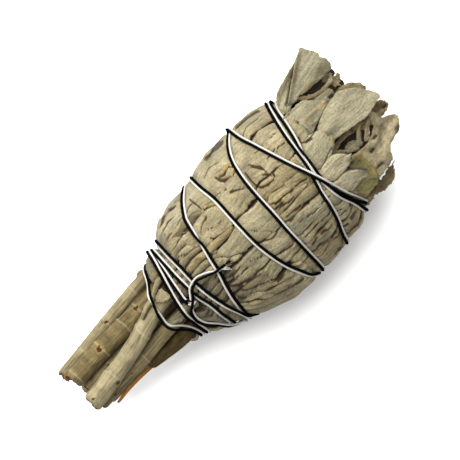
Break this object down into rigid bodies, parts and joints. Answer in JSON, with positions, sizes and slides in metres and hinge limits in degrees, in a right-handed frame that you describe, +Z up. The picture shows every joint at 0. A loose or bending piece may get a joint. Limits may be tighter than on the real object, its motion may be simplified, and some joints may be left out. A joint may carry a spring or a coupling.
{
  "type": "sage smudge stick",
  "caption": "Small bundle of dried sage leaves gathered round their cut woody stalks and wound with a doubled string of one white and one black strand, lying on its side.",
  "frame": {"origin": "middle of the bounding box over the ground, which the bundle lies on", "axes": "+X along the bundle from its cut stalks towards its leafy tip, +Z up towards its seen side"},
  "size_m": [0.1274, 0.0508, 0.043],
  "materials": {
    "sage_leaf": "matte",
    "sage_stalk": "matte",
    "dry_twig": "matte",
    "white_string": "matte",
    "black_string": "matte"
  },
  "bodies": {
    "root": {"leaf_bunch": "sage_leaf", "stalk_1": "sage_stalk", "stalk_2": "sage_stalk", "stalk_3": "sage_stalk", "stalk_4": "sage_stalk", "stalk_5": "sage_stalk", "stalk_6": "sage_stalk", "stalk_7": "sage_stalk", "stalk_8": "sage_stalk", "stalk_9": "sage_stalk", "dry_twig": "dry_twig", "string_white": "white_string", "string_black": "black_string"}
  },
  "joints": []
}
